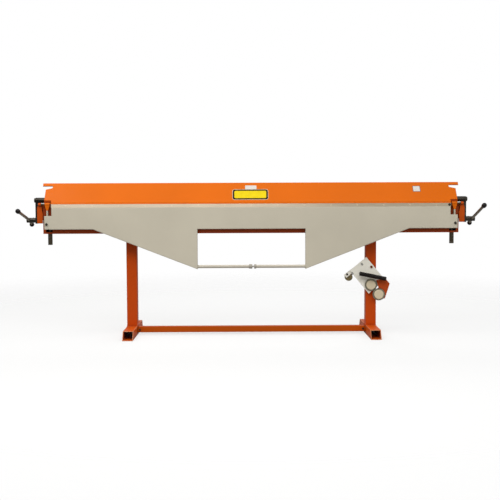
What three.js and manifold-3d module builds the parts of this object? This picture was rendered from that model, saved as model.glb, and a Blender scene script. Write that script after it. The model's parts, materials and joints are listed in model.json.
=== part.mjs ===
// Sheet metal brake on its own stand, with a slitting shear hung on the right post.
// Millimetres, +Z up. X runs along the beams and -Y points at the person who works here.
import * as THREE from 'three';
import { mergeVertices } from 'three/addons/utils/BufferGeometryUtils.js';
import Module from 'manifold-3d';

const wasm = await Module();
wasm.setup();

// Driving sizes of the whole machine
const halfBeam = 1397; // from the middle to the end of both beams
const bendHeight = 898; // bending line above the floor
const hingeForward = 111; // bending line in front of the posts' centre
const fitGap = 0.3; // between a piece and the hole or pocket that it sits in
const overrun = 20; // how far a cutting body runs past what it cuts
const roundSides = 24;
const smallSides = 12;
const hexSides = 6;
const arcSegments = 8;

// Lower beam: a box section with the table on top
const bodyHeight = 199;
const bodyDepth = 162;
const bodyWall = 5;
const railHeight = 20; // hard rail along the front edge of the table
const railSetback = 0.3; // rail behind the bending line

// Bending leaf: folded sheet with a blade along its top edge
const bladeThickness = 18;
const bladeHeight = 22;
const bladeSetback = 1; // blade in front of the bending line
const leafSheet = 5;
const leafDepth = 30; // front face to the back of the folded rim
const leafClearance = 8; // rim to the lower beam
const leafEndGap = 7; // leaf shorter than the beam at each end
const notchLength = 49; // cut back at the top corners, for the hinges
const notchDepth = 56; // below the blade
const leafHeight = 147; // blade's lower edge to the leaf's lower edge
const armDrop = 271; // leaf's lower edge to the tip of the tapered arms
const armStart = 1064; // where the lower edge starts to slope
const windowHalf = 364;
const ribThickness = 6;
const ribPlaces = 4; // on each side of the middle
const ribPitchShare = 0.23; // of the half beam

// Hinges of the leaf
const pinRadius = 6;
const earRadius = 9.5;
const sleeveRadius = 10;
const sleeveLength = 34;
const sleeveEndGap = 9; // sleeve to the end of the beam
const gussetDrop = 42; // orange gusset below the hinge axis
const gussetDepth = 16;
const gussetFoot = 12;
const armWeb = 8;
const armFootWidth = 26;
const armFootHeight = 73;
const armFootThickness = 8;
const armFootLift = 10; // above the leaf's lower edge
const armWebOverlap = 27; // web welded down the foot
const armWebDepth = 18;
const armBoltLift = 35; // above the leaf's lower edge
const armBoltOffset = 3; // outboard of the web
const armBoltHead = 9;
const armBoltRadius = 5;
const armBoltHeadHeight = 7;

// Ends of the machine, outwards from the beam
const endPlate = 8;
const cheekSpace = 25;
const cheek = 12;
const strapSpace = 5;
const strap = 12;
const pinHeadThickness = 9;
const hubLength = 62;
const hubStart = 0.5; // hub clear of the strap
const leverInset = 18.5; // lever from the outer end of the hub
const bossInset = 8; // boss of the hinge pin outboard of the end plate
const bossLength = 18;
const webThickness = 8;
const webNeck = 22; // below the hinge axis, where the web starts to widen inwards
const webSpread = 60; // below the hinge axis, where it has its full width
const cheekDrop = 26; // top of the cheek below the hinge axis
const webForward = 44; // bracket's front face ahead of the clamp axis
const rearWebThickness = 6;
const rearWebBack = 21; // bracket's rear face behind the clamp axis
const hingePinEnd = 2; // past the boss

// Upper beam
const leanDegrees = 37; // front face off the vertical
const upperHeight = 143; // bending line to the top
const upperDepth = 88; // jaw, front to back
const upperPlate = 8;
const upperBackPlate = 6;
const jawThickness = 8;
const jawGap = 0.5;
const noseSetback = 4.5; // lets the leaf swing past the lifted jaw
const stripHeight = 18;
const stripOverhang = 23;
const slotInnerHeight = 16;
const slotOuterHeight = 24.4;
const slotLength = 47;
const slotRound = 6;
const recessLength = 47;
const recessHeight = 25; // above the bending line
const recessDepth = 20;
const capThickness = 8;
const capEdgeGap = 0.6; // round the end cap, inside the sloping front

// Clamps: strap, cam shaft and lever at each end
const clampForward = 60;
const clampPinRise = 27;
const shaftDrop = 107;
const clampPinRadius = 18.5;
const clampHeadRadius = 15.5;
const clampNeckRadius = 12;
const spigotRadius = 10;
const camThrow = 6;
const camStartDegrees = 30; // past bottom dead centre when clamped
const camRadius = 11;
const camPlay = 0.8;
const camSidePlay = 0.5;
const journalRadius = 8;
const collarRadius = 12;
const collarThickness = 7;
const collarGap = 3;
const hubRadius = 16.5;
const strapRim = 6;
const leverLength = 315;
const leverRadius = 9.5;
const leftLeverDegrees = 12.1;
const rightLeverDegrees = 17.2;
const tailLength = 66;
const tailDegrees = 27;
const knobRadius = 16;
const knobLength = 38;
const knobShoulder = 12;
const knobGrip = 24; // depth of the bore that takes the rod
const ballRadius = 16;
const ballGrip = 12;

// Lift rods and their springs
const rodInset = 27; // from the end of the beam
const rodForward = 40;
const rodRadius = 8;
const rodHoleGap = 1;
const rodNutRadius = 11.5;
const rodNutHeight = 12;
const rodTipRadius = 6;
const rodCollarRadius = 11.5;
const rodCollarThickness = 8;
const rodCollarDrop = 98; // collar's underside below the bending line
const rodTipLength = 80;
const housingRadius = 15;
const housingWall = 2.5;
const housingFloor = 4;
const housingHang = 77; // below the lower beam
const housingTopGap = 20; // below the table
const springWire = 1.75;
const springRadius = 9.2;
const springTurns = 8;
const springTurnSteps = 8;
const springSides = 5;
const springEndGap = 0.4;
const windowLift = 12; // opening in the front wall by the spring housing
const windowHeight = 34;
const windowInner = 56; // from the end of the beam
const windowOuter = 10;

// Tie bar across the window of the leaf
const tieHeight = 17; // above the tips of the arms
const tieRadius = 10.8;
const tieNutRadius = 15;
const tieNutLong = 23;
const tieNutShort = 14;
const tieGap = 12;
const tieOffset = 7; // middle of the adjuster, right of the centre
const tieStudRadius = 6;
const tieStudGrip = 45;

// Stand
const postCentre = 820;
const postSize = 70;
const postWall = 4;
const footWidth = 70;
const footHeight = 60;
const footLength = 600;
const footSlope = 42; // top of the slanted ends behind their base
const footWall = 4;
const crossbarSize = 40;
const crossbarWall = 3;
const crossbarLift = 14;
const stubLength = 60;
const stubGap = 0.4;
const crossBoltInset = 16;
const crossBoltRadius = 4;
const crossBoltHead = 7;
const crossBoltHeadHeight = 5;
const postPlateWidth = 160;
const postPlateDepth = 130;
const postPlateThickness = 10;

// Shear, in its own frame: u runs down along the plate, w across it, from the hanging hole
const shearTurnDegrees = 50.6;
const shearHeight = 463; // hanging hole above the floor
const pegStandoff = 15;
const pegRadius = 8;
const pegCollarRadius = 14;
const pegLength = 6; // past the plate
const pegHole = 8.6;
const shearPlate = 6;
const plateAbove = 75; // along u, from the hole
const plateBelow = 130;
const plateLeft = 130; // across, from the hole
const plateRight = 16;
const shearArm = 8;
const cutterRadius = 42;
const cutterSpacing = 83;
const cutterU = 93;
const cutterW = 80.5;
const cutterThickness = 7.4;
const cutterCapRadius = 32;
const cutterCapThickness = 6;
const axleRadius = 8;
const axlePlay = 0.3;
const cutterBore = 10; // depth of the bore behind the cap
const throatHalf = 5.5;
const armBackReach = 49; // arm past the lower cutter's centre
const armInnerW = 52; // inner end of the throat, across
const armRootW = 32;
const armRootU = 91;
const armShoulderU = 128;
const armElbowU = 168;
const armOuterW = 24; // arm beyond the hole line
const armTipW = 65;
const armHeelW = 112;
const armHeelU = 160;
const handleRadius = 14.5;
const handleLength = 185;
const handleU = -22;
const handleW = 93;
const handleTurnDegrees = 38.9;
const handleStandoff = 36;
const handleLegRadius = 6;
const handleLegShare = 0.06; // of the handle's length, from each end
const rollerRadius = 26.5;
const rollerWidth = 20;
const rollerGroove = 4;
const rollerRim = 4;
const rollerU = 43;
const rollerW = 163;
const rollerFace = 4; // closed front of the roller
const lugU = 61;
const lugWidth = 21;
const lugEnd = 16; // past the roller's centre
const bracketWidth = 34;
const bracketOverlap = 20; // behind the plate
const bracketThickness = 6;
const bridgeGap = 2.5; // bracket's bridge to the roller
const rollerPlay = 0.5;

// Places that follow from the sizes
const hingeY = -hingeForward;
const bladeBackY = hingeY - bladeSetback;
const leafFrontY = bladeBackY - bladeThickness;
const leafRimY = leafFrontY + leafDepth;
const bodyFrontY = leafRimY + leafClearance;
const bodyBackY = bodyFrontY + bodyDepth;
const bodyBottomZ = bendHeight - bodyHeight;
const bladeBottomZ = bendHeight - bladeHeight;
const leafBottomZ = bladeBottomZ - leafHeight;
const leafTipZ = leafBottomZ - armDrop;
const leafEndX = halfBeam - leafEndGap;
const notchX = leafEndX - notchLength;
const notchZ = bladeBottomZ - notchDepth;
const sleeveOuterX = halfBeam - sleeveEndGap;
const sleeveInnerX = sleeveOuterX - sleeveLength;
const armX = (sleeveOuterX + sleeveInnerX) / 2;
const endPlateX = halfBeam + endPlate;
const bossX = endPlateX + bossInset;
const bossOuterX = bossX + bossLength;
const cheekX = endPlateX + cheekSpace;
const cheekOuterX = cheekX + cheek;
const strapX = cheekOuterX + strapSpace;
const strapOuterX = strapX + strap;
const hubX = strapOuterX + hubStart;
const hubOuterX = hubX + hubLength;
const leverX = hubOuterX - leverInset;
const recessX = halfBeam - recessLength;
const clampY = -clampForward;
const clampPinZ = bendHeight + clampPinRise;
const shaftZ = bendHeight - shaftDrop;
const noseY = hingeY + noseSetback;
const noseZ = bendHeight + jawGap;
const jawTopZ = noseZ + jawThickness;
const upperTopZ = bendHeight + upperHeight;
const upperBackY = noseY + upperDepth;
const lean = THREE.MathUtils.degToRad(leanDegrees);
const plateRun = upperPlate / Math.cos(lean); // front plate measured level
const stripZ = upperTopZ - stripHeight;
const recessZ = bendHeight + recessHeight;
const recessY = noseY + recessDepth;
const rodX = halfBeam - rodInset;
const rodY = -rodForward;
const postBottomZ = footHeight;
const postTopZ = bodyBottomZ - postPlateThickness;
const camStart = THREE.MathUtils.degToRad(camStartDegrees);
const camY = clampY - camThrow * Math.sin(camStart);
const camZ = shaftZ - camThrow * Math.cos(camStart);

const sides = [
  { name: 'left', sign: -1, leverDegrees: leftLeverDegrees },
  { name: 'right', sign: 1, leverDegrees: rightLeverDegrees },
];

// Colours as painted or left bare
const orange = paint(0xe07018, 0.42);
const deepOrange = paint(0xb84a08, 0.5);
const greyPaint = paint(0xb9b3a0, 0.5);
const ivory = paint(0xd9d2b8, 0.5);
const bareSteel = new THREE.MeshStandardMaterial({ color: 0xcfc6b4, roughness: 0.35, metalness: 0.9 });
const darkSteel = new THREE.MeshStandardMaterial({ color: 0x3a3733, roughness: 0.45, metalness: 0.8 });
const blackPlastic = new THREE.MeshStandardMaterial({ color: 0x141414, roughness: 0.4, metalness: 0 });

function paint(color, roughness) {
  return new THREE.MeshStandardMaterial({ color, roughness, metalness: 0 });
}

// Solid modelling helpers

function solid(geometry) {
  geometry.deleteAttribute('normal');
  geometry.deleteAttribute('uv');
  const merged = mergeVertices(geometry);
  return new wasm.Manifold(new wasm.Mesh({
    numProp: 3,
    vertProperties: Float32Array.from(merged.attributes.position.array),
    triVerts: Uint32Array.from(merged.index.array),
  }));
}

function part(name, body, material) {
  const { vertProperties, triVerts } = body.getMesh();
  const geometry = new THREE.BufferGeometry();
  geometry.setAttribute('position', new THREE.BufferAttribute(vertProperties, 3));
  geometry.setIndex(new THREE.BufferAttribute(triVerts, 1));
  geometry.computeVertexNormals();
  const mesh = new THREE.Mesh(geometry, material);
  mesh.name = name;
  return mesh;
}

function join(bodies) {
  return bodies.reduce((whole, body) => whole.add(body));
}

function box([x0, x1], [y0, y1], [z0, z1]) {
  const geometry = new THREE.BoxGeometry(x1 - x0, y1 - y0, z1 - z0);
  geometry.translate((x0 + x1) / 2, (y0 + y1) / 2, (z0 + z1) / 2);
  return solid(geometry);
}

// The range from a to b on one side of the machine, low end first
function span(sign, a, b) {
  return [sign * a, sign * b].sort((low, high) => low - high);
}

function around(middle, half) {
  return [middle - half, middle + half];
}

function outline(points) {
  return new THREE.Shape(points.map(([a, b]) => new THREE.Vector2(a, b)));
}

// An outline in Y and Z, pulled along X
function pullX(shape, [x0, x1]) {
  const geometry = new THREE.ExtrudeGeometry(shape, {
    depth: x1 - x0, bevelEnabled: false, curveSegments: arcSegments,
  });
  const turn = new THREE.Matrix4().makeBasis(
    new THREE.Vector3(0, 1, 0), new THREE.Vector3(0, 0, 1), new THREE.Vector3(1, 0, 0));
  geometry.applyMatrix4(turn);
  geometry.translate(x0, 0, 0);
  return solid(geometry);
}

// An outline in X and Z, pulled along Y
function pullY(shape, [y0, y1]) {
  const geometry = new THREE.ExtrudeGeometry(shape, {
    depth: y1 - y0, bevelEnabled: false, curveSegments: arcSegments,
  });
  const turn = new THREE.Matrix4().makeBasis(
    new THREE.Vector3(1, 0, 0), new THREE.Vector3(0, 0, 1), new THREE.Vector3(0, -1, 0));
  geometry.applyMatrix4(turn);
  geometry.translate(0, y1, 0);
  return solid(geometry);
}

// A round bar between two points
function bar(radius, from, to, count = roundSides) {
  const start = new THREE.Vector3(...from);
  const along = new THREE.Vector3(...to).sub(start);
  const geometry = new THREE.CylinderGeometry(radius, radius, along.length(), count);
  const turn = new THREE.Quaternion().setFromUnitVectors(
    new THREE.Vector3(0, 1, 0), along.clone().normalize());
  geometry.applyQuaternion(turn);
  const middle = start.addScaledVector(along, 0.5);
  geometry.translate(middle.x, middle.y, middle.z);
  return solid(geometry);
}

function barX(radius, [x0, x1], y, z, count) {
  return bar(radius, [x0, y, z], [x1, y, z], count);
}

function barY(radius, x, [y0, y1], z, count) {
  return bar(radius, [x, y0, z], [x, y1, z], count);
}

function barZ(radius, x, y, [z0, z1], count) {
  return bar(radius, [x, y, z0], [x, y, z1], count);
}

// A turned piece: radius and distance along its axis, set at a point and aimed
function turned(profile, place, aim, count = roundSides) {
  const points = profile.map(([radius, along]) => new THREE.Vector2(radius, along));
  const geometry = new THREE.LatheGeometry(points, count);
  const turn = new THREE.Quaternion().setFromUnitVectors(
    new THREE.Vector3(0, 1, 0), new THREE.Vector3(...aim).normalize());
  geometry.applyQuaternion(turn);
  geometry.translate(...place);
  return solid(geometry);
}

// Lower beam, its rail and what closes its ends

function lowerBeam() {
  const long = around(0, halfBeam);
  const inside = around(0, halfBeam + overrun);
  let body = box(long, [bodyFrontY, bodyBackY], [bodyBottomZ, bendHeight]);
  body = body.subtract(box(
    inside,
    [bodyFrontY + bodyWall, bodyBackY - bodyWall],
    [bodyBottomZ + bodyWall, bendHeight - bodyWall]));
  for (const { sign } of sides) {
    const x = sign * rodX;
    const table = [bendHeight - overrun, bendHeight + overrun];
    const floor = around(bodyBottomZ, overrun);
    body = body.subtract(barZ(rodRadius + rodHoleGap, x, rodY, table));
    body = body.subtract(barZ(housingRadius + fitGap, x, rodY, floor));
    body = body.subtract(box(
      span(sign, halfBeam - windowInner, halfBeam - windowOuter),
      around(bodyFrontY, overrun),
      [bodyBottomZ + windowLift, bodyBottomZ + windowLift + windowHeight]));
  }
  return part('lower_beam', body, orange);
}

function tableRail() {
  const body = box(
    around(0, recessX),
    [hingeY + railSetback, bodyFrontY],
    [bendHeight - railHeight, bendHeight]);
  return part('table_rail', body, bareSteel);
}

function endPlatePart({ name, sign }) {
  const body = box(
    span(sign, halfBeam, endPlateX), [bodyFrontY, bodyBackY], [bodyBottomZ, bendHeight]);
  return part(`${name}_end_plate`, body, orange);
}

// Hinge bracket: a tapered front web with the boss of the hinge pin, an outer cheek and a rear web
function hingeBracket({ name, sign }) {
  const frontY = clampY - webForward;
  const rearY = clampY + rearWebBack;
  const bottomZ = shaftZ - rearWebBack;
  const cheekTopZ = bendHeight - cheekDrop;
  const cheekShape = new THREE.Shape();
  cheekShape.moveTo(frontY, bottomZ);
  cheekShape.lineTo(clampY, bottomZ);
  cheekShape.absarc(clampY, shaftZ, rearWebBack, -Math.PI / 2, 0, false);
  cheekShape.lineTo(rearY, cheekTopZ);
  cheekShape.lineTo(frontY, cheekTopZ);
  const topZ = bendHeight + earRadius / 2;
  const web = [
    [endPlateX, bottomZ], [cheekOuterX, bottomZ], [cheekOuterX, cheekTopZ], [bossOuterX, topZ],
    [bossX, topZ], [bossX, bendHeight - webNeck], [endPlateX, bendHeight - webSpread],
  ];
  const webShape = outline(web.map(([x, z]) => [sign * x, z]));
  const inner = span(sign, endPlateX, cheekX);
  const whole = join([
    pullX(cheekShape, span(sign, cheekX, cheekOuterX)),
    pullY(webShape, [frontY, frontY + webThickness]),
    box(inner, [rearY - rearWebThickness, rearY], [shaftZ, bendHeight]),
    barX(earRadius, span(sign, bossX, bossOuterX), hingeY, bendHeight),
  ]);
  const through = span(sign, endPlateX - overrun, cheekOuterX + overrun);
  const holes = join([
    barX(pinRadius + fitGap, through, hingeY, bendHeight),
    barX(journalRadius + fitGap, through, clampY, shaftZ),
  ]);
  return part(`${name}_hinge_bracket`, whole.subtract(holes), orange);
}

function hingePin({ name, sign }) {
  const body = barX(pinRadius, span(sign, sleeveInnerX, bossOuterX + hingePinEnd), hingeY, bendHeight);
  return part(`${name}_hinge_pin`, body, bareSteel);
}

// Spring housing, spring and lift rod at each end of the beams

function housingPlace() {
  const bottomZ = bodyBottomZ - housingHang;
  return { bottomZ, floorZ: bottomZ + housingFloor, topZ: bendHeight - bodyWall - housingTopGap };
}

function springHousing({ name, sign }) {
  const { bottomZ, floorZ, topZ } = housingPlace();
  const x = sign * rodX;
  const tube = barZ(housingRadius, x, rodY, [bottomZ, topZ]);
  const bore = barZ(housingRadius - housingWall, x, rodY, [floorZ, topZ + overrun]);
  return part(`${name}_spring_housing`, tube.subtract(bore), darkSteel);
}

function liftSpring({ name, sign }) {
  const { floorZ } = housingPlace();
  const lowZ = floorZ + springWire + springEndGap;
  const highZ = bendHeight - rodCollarDrop - springWire - springEndGap;
  const steps = springTurns * springTurnSteps;
  const positions = [];
  const faces = [];
  for (let step = 0; step <= steps; step += 1) {
    const turn = (2 * Math.PI * step) / springTurnSteps;
    const height = lowZ + ((highZ - lowZ) * step) / steps;
    for (let side = 0; side < springSides; side += 1) {
      const round = (2 * Math.PI * side) / springSides;
      const radius = springRadius + springWire * Math.cos(round);
      positions.push(
        sign * rodX + radius * Math.cos(turn),
        rodY + radius * Math.sin(turn),
        height + springWire * Math.sin(round));
    }
  }
  for (let step = 0; step < steps; step += 1) {
    for (let side = 0; side < springSides; side += 1) {
      const next = (side + 1) % springSides;
      const a = step * springSides + side;
      const b = step * springSides + next;
      faces.push(a, a + springSides, b);
      faces.push(b, a + springSides, b + springSides);
    }
  }
  const last = steps * springSides;
  for (let side = 1; side < springSides - 1; side += 1) {
    faces.push(0, side, side + 1);
    faces.push(last, last + side + 1, last + side);
  }
  const geometry = new THREE.BufferGeometry();
  geometry.setAttribute('position', new THREE.Float32BufferAttribute(positions, 3));
  geometry.setIndex(faces);
  const mesh = new THREE.Mesh(geometry, bareSteel);
  mesh.name = `${name}_lift_spring`;
  return mesh;
}

function liftRod({ name, sign }) {
  const x = sign * rodX;
  const collarZ = bendHeight - rodCollarDrop;
  const nutZ = jawTopZ + fitGap;
  const body = join([
    barZ(rodRadius, x, rodY, [collarZ, nutZ + rodNutHeight]),
    barZ(rodNutRadius, x, rodY, [nutZ, nutZ + rodNutHeight], hexSides),
    barZ(rodCollarRadius, x, rodY, [collarZ, collarZ + rodCollarThickness]),
    barZ(rodTipRadius, x, rodY, [collarZ - rodTipLength, collarZ + rodCollarThickness]),
  ]);
  return part(`${name}_lift_rod`, body, darkSteel);
}

// Upper beam

// The front face of the sloping plate at a height
function faceY(z) {
  return noseY + (z - noseZ) * Math.tan(lean);
}

// What is cut from an end of the sloping plate, square to it: the slot and all beyond it
function endCut(sign) {
  const along = (z) => (z - noseZ) / Math.cos(lean);
  const past = halfBeam + stripOverhang + overrun;
  const endX = halfBeam - slotLength;
  const points = [
    [past, along(stripZ)], [endX + slotRound, along(stripZ)],
    [endX, along(stripZ - slotInnerHeight / 2)],
    [endX + slotRound, along(stripZ - slotInnerHeight)],
    [halfBeam, along(stripZ - slotOuterHeight)], [halfBeam, -overrun], [past, -overrun],
  ];
  const shape = outline(points.map(([x, reach]) => [sign * x, reach]));
  return pullY(shape, [-overrun, upperPlate + overrun])
    .rotate([-leanDegrees, 0, 0])
    .translate([0, noseY, noseZ]);
}

function upperFront() {
  const section = outline([
    [faceY(jawTopZ), jawTopZ],
    [faceY(jawTopZ) + plateRun, jawTopZ],
    [faceY(upperTopZ) + plateRun, upperTopZ],
    [faceY(upperTopZ), upperTopZ],
  ]);
  let body = pullX(section, around(0, halfBeam + stripOverhang));
  const deep = [noseY - overrun, faceY(upperTopZ) + plateRun + overrun];
  for (const { sign } of sides) {
    const past = halfBeam + overrun;
    body = body.subtract(endCut(sign));
    body = body.subtract(box(span(sign, recessX, past), deep, [noseZ - overrun, recessZ]));
  }
  return part('upper_beam_front', body, orange);
}

function upperBack() {
  const frontY = upperBackY - upperBackPlate;
  const topZ = noseZ + (frontY - plateRun - fitGap - noseY) / Math.tan(lean);
  const body = box(around(0, halfBeam), [frontY, upperBackY], [jawTopZ, topZ]);
  return part('upper_beam_back', body, orange);
}

function upperJaw() {
  const section = outline([
    [noseY, noseZ], [upperBackY, noseZ], [upperBackY, jawTopZ], [faceY(jawTopZ), jawTopZ],
  ]);
  let body = pullX(section, around(0, halfBeam));
  const high = [noseZ - overrun, jawTopZ + overrun];
  for (const { sign } of sides) {
    const notch = box(span(sign, recessX, halfBeam + overrun), [noseY - overrun, recessY], high);
    body = body.subtract(notch);
    body = body.subtract(barZ(rodRadius + fitGap, sign * rodX, rodY, high));
  }
  return part('upper_jaw', body, orange);
}

// End cap of the upper beam, with the small plate that closes the recess over the hinge
function beamCap({ name, sign }) {
  const backY = upperBackY - upperBackPlate - capEdgeGap;
  const innerY = (z) => faceY(z) + plateRun + capEdgeGap;
  const peakZ = noseZ + (backY - plateRun - capEdgeGap - noseY) / Math.tan(lean);
  const plateY = recessY + upperPlate;
  const shelfZ = recessZ - fitGap;
  const section = outline([
    [recessY, jawTopZ],
    [backY, jawTopZ],
    [backY, peakZ],
    [innerY(recessZ), recessZ],
    [innerY(recessZ), shelfZ],
    [recessY, shelfZ],
  ]);
  let body = pullX(section, span(sign, halfBeam - capThickness, halfBeam));
  const closer = box(span(sign, recessX, halfBeam), [recessY, plateY], [jawTopZ, shelfZ]);
  body = body.add(closer);
  const hole = barX(spigotRadius + fitGap, span(sign, recessX, halfBeam + overrun), clampY, clampPinZ);
  return part(`${name}_beam_cap`, body.subtract(hole), orange);
}

// Clamp pin: hub, neck through the strap and head
function clampPin({ name, sign }) {
  const headX = strapOuterX + fitGap;
  const body = join([
    barX(spigotRadius, span(sign, halfBeam - capThickness, strapX), clampY, clampPinZ),
    barX(clampPinRadius, span(sign, halfBeam, strapX - fitGap), clampY, clampPinZ),
    barX(clampNeckRadius, span(sign, strapX - strapSpace, headX + fitGap), clampY, clampPinZ),
    barX(clampHeadRadius, span(sign, headX, headX + pinHeadThickness), clampY, clampPinZ),
  ]);
  return part(`${name}_clamp_pin`, body, darkSteel);
}

// Strap from the clamp pin down to the cam, which runs in a slot across it
function clampStrap({ name, sign }) {
  const slotFront = camY - camRadius - camThrow * (1 - Math.sin(camStart)) - camSidePlay;
  const slotBack = camY + camRadius + camSidePlay;
  const slotLow = camZ - camRadius - camPlay;
  const slotHigh = camZ + camRadius + camPlay;
  const shape = new THREE.Shape();
  shape.moveTo(slotFront - strapRim, slotLow - strapRim);
  shape.lineTo(slotBack + strapRim, slotLow - strapRim);
  shape.lineTo(slotBack + strapRim, slotHigh + strapRim);
  shape.lineTo(clampY + clampPinRadius, slotHigh + strapRim + clampPinRadius);
  shape.lineTo(clampY + clampPinRadius, clampPinZ);
  shape.absarc(clampY, clampPinZ, clampPinRadius, 0, Math.PI, false);
  shape.lineTo(clampY - clampPinRadius, slotHigh + strapRim + clampPinRadius);
  shape.lineTo(slotFront - strapRim, slotHigh + strapRim);
  const through = span(sign, strapX - overrun, strapOuterX + overrun);
  const body = pullX(shape, span(sign, strapX, strapOuterX))
    .subtract(box(through, [slotFront, slotBack], [slotLow, slotHigh]))
    .subtract(barX(clampNeckRadius + fitGap, through, clampY, clampPinZ));
  return part(`${name}_clamp_strap`, body, darkSteel);
}

// Cam shafts and levers

function leverAims({ leverDegrees }) {
  const rise = THREE.MathUtils.degToRad(leverDegrees);
  const fall = THREE.MathUtils.degToRad(tailDegrees);
  return {
    arm: new THREE.Vector3(0, -Math.cos(rise), Math.sin(rise)),
    tail: new THREE.Vector3(0, Math.cos(fall), -Math.sin(fall)),
  };
}

function leverEnd(side, aim, length) {
  return [side.sign * leverX, clampY + aim.y * length, shaftZ + aim.z * length];
}

function leverBar(side, radius) {
  const { arm, tail } = leverAims(side);
  const middle = [side.sign * leverX, clampY, shaftZ];
  const knuckle = solid(new THREE.SphereGeometry(radius, smallSides, smallSides / 2)
    .translate(...middle));
  return join([
    bar(radius, middle, leverEnd(side, arm, leverLength), smallSides),
    bar(radius, middle, leverEnd(side, tail, tailLength), smallSides),
    knuckle,
  ]);
}

function camShaft(side) {
  const { name, sign } = side;
  const collarOuterX = cheekX - collarGap;
  const camX = strapX - camSidePlay;
  const body = join([
    barX(hubRadius, span(sign, hubX, hubOuterX), clampY, shaftZ),
    barX(camRadius, span(sign, camX, hubX + hubStart), camY, camZ),
    barX(journalRadius, span(sign, collarOuterX - collarThickness, camX + camSidePlay / 2), clampY, shaftZ),
    barX(collarRadius, span(sign, collarOuterX - collarThickness, collarOuterX), clampY, shaftZ),
  ]);
  return part(`${name}_cam_shaft`, body.subtract(leverBar(side, leverRadius + fitGap)), darkSteel);
}

function leverRod(side) {
  return part(`${side.name}_lever_rod`, leverBar(side, leverRadius), bareSteel);
}

// Knob on the arm and ball on the tail, each with a bore for the rod
function leverKnobs(side) {
  const { arm, tail } = leverAims(side);
  const bore = leverRadius + fitGap;
  const knobBack = -knobGrip;
  const knobFront = knobLength - knobGrip;
  const knob = [[0, fitGap], [bore, fitGap], [bore, knobBack], [knobShoulder, knobBack]];
  for (let step = 0; step <= arcSegments; step += 1) {
    const share = step / arcSegments;
    const along = knobBack + knobRadius / 2 + (knobFront - knobRadius / 2 - knobBack) * share;
    const drop = Math.sqrt(1 - Math.max(0, 2 * share - 1) ** 2);
    knob.push([step === arcSegments ? 0 : knobRadius * drop, along]);
  }
  const ball = [[0, fitGap], [bore, fitGap], [bore, -ballGrip]];
  const mouth = Math.acos(bore / ballRadius);
  const centre = -ballGrip + ballRadius * Math.sin(mouth);
  for (let step = 1; step <= arcSegments; step += 1) {
    const angle = -mouth + ((Math.PI / 2 + mouth) * step) / arcSegments;
    const radius = step === arcSegments ? 0 : ballRadius * Math.cos(angle);
    ball.push([radius, centre + ballRadius * Math.sin(angle)]);
  }
  const knobBody = turned(knob, leverEnd(side, arm, leverLength), arm.toArray(), smallSides);
  const ballBody = turned(ball, leverEnd(side, tail, tailLength), tail.toArray(), smallSides);
  return [
    part(`${side.name}_lever_knob`, knobBody, blackPlastic),
    part(`${side.name}_lever_ball`, ballBody, blackPlastic),
  ];
}

// Bending leaf

// The leaf's outline, drawn in by a distance all round
function leafShape(inset) {
  const slope = armDrop / (armStart - windowHalf);
  const secant = Math.sqrt(1 + slope * slope);
  const low = leafBottomZ + inset;
  const startX = armStart - (inset * (secant - 1)) / slope;
  const innerX = windowHalf + inset;
  const tipZ = leafTipZ + inset * (slope + secant);
  const half = [
    [innerX, low], [innerX, tipZ], [startX, low], [leafEndX - inset, low],
    [leafEndX - inset, notchZ - inset], [notchX - inset, notchZ - inset],
    [notchX - inset, bladeBottomZ - inset],
  ];
  const mirrored = half.map(([x, z]) => [-x, z]).reverse();
  return outline([...half, ...mirrored]);
}

// Upright ribs behind the sheet, joined to it and to the rim above and below
function leafRibs() {
  const ribs = [];
  for (let step = 0; step < ribPlaces; step += 1) {
    const x = halfBeam * ribPitchShare * (step + 0.5);
    for (const sign of [-1, 1]) {
      ribs.push(box(
        around(sign * x, ribThickness / 2),
        [leafFrontY + leafSheet / 2, leafRimY],
        [leafBottomZ + leafSheet / 2, bladeBottomZ - leafSheet / 2]));
    }
  }
  return ribs;
}

function bendingLeaf() {
  const sheet = pullY(leafShape(0), [leafFrontY, leafFrontY + leafSheet]);
  const rim = pullY(leafShape(0), [leafFrontY, leafRimY])
    .subtract(pullY(leafShape(leafSheet), [leafFrontY - overrun, leafRimY + overrun]));
  let body = join([sheet, rim, ...leafRibs()]);
  const deep = [leafFrontY + leafSheet, leafRimY + overrun];
  for (const { sign } of sides) {
    const web = armWeb / 2 + fitGap;
    const slot = box(span(sign, armX - web, armX + web), deep, around(notchZ, leafSheet + fitGap));
    const hole = barY(
      armBoltRadius + fitGap,
      sign * (armX + armBoltOffset),
      around(leafFrontY, overrun),
      leafBottomZ + armBoltLift,
      smallSides);
    body = body.subtract(slot).subtract(hole);
  }
  return part('bending_leaf', body, greyPaint);
}

function bendingBlade() {
  const body = box(around(0, notchX), [leafFrontY, bladeBackY], [bladeBottomZ, bendHeight]);
  return part('bending_blade', body, bareSteel);
}

// Grey arm behind the leaf that carries the hinge sleeve
function leafArm({ name, sign }) {
  const footY = leafFrontY + leafSheet;
  const webY = footY + armFootThickness;
  const footZ = leafBottomZ + armFootLift;
  const footTop = footZ + armFootHeight;
  const x = sign * armX;
  const body = join([
    box(around(x, armFootWidth / 2 - fitGap), [footY, webY], [footZ, footTop]),
    box(
      around(x, armWeb / 2), [footY + fitGap, webY + armWebDepth],
      [footTop - armWebOverlap, bendHeight - gussetDrop],
    ),
  ]);
  const boltX = sign * (armX + armBoltOffset);
  const hole = barY(
    armBoltRadius + fitGap, boltX, around(footY, overrun), leafBottomZ + armBoltLift, smallSides);
  return part(`${name}_leaf_arm`, body.subtract(hole), greyPaint);
}

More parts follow.
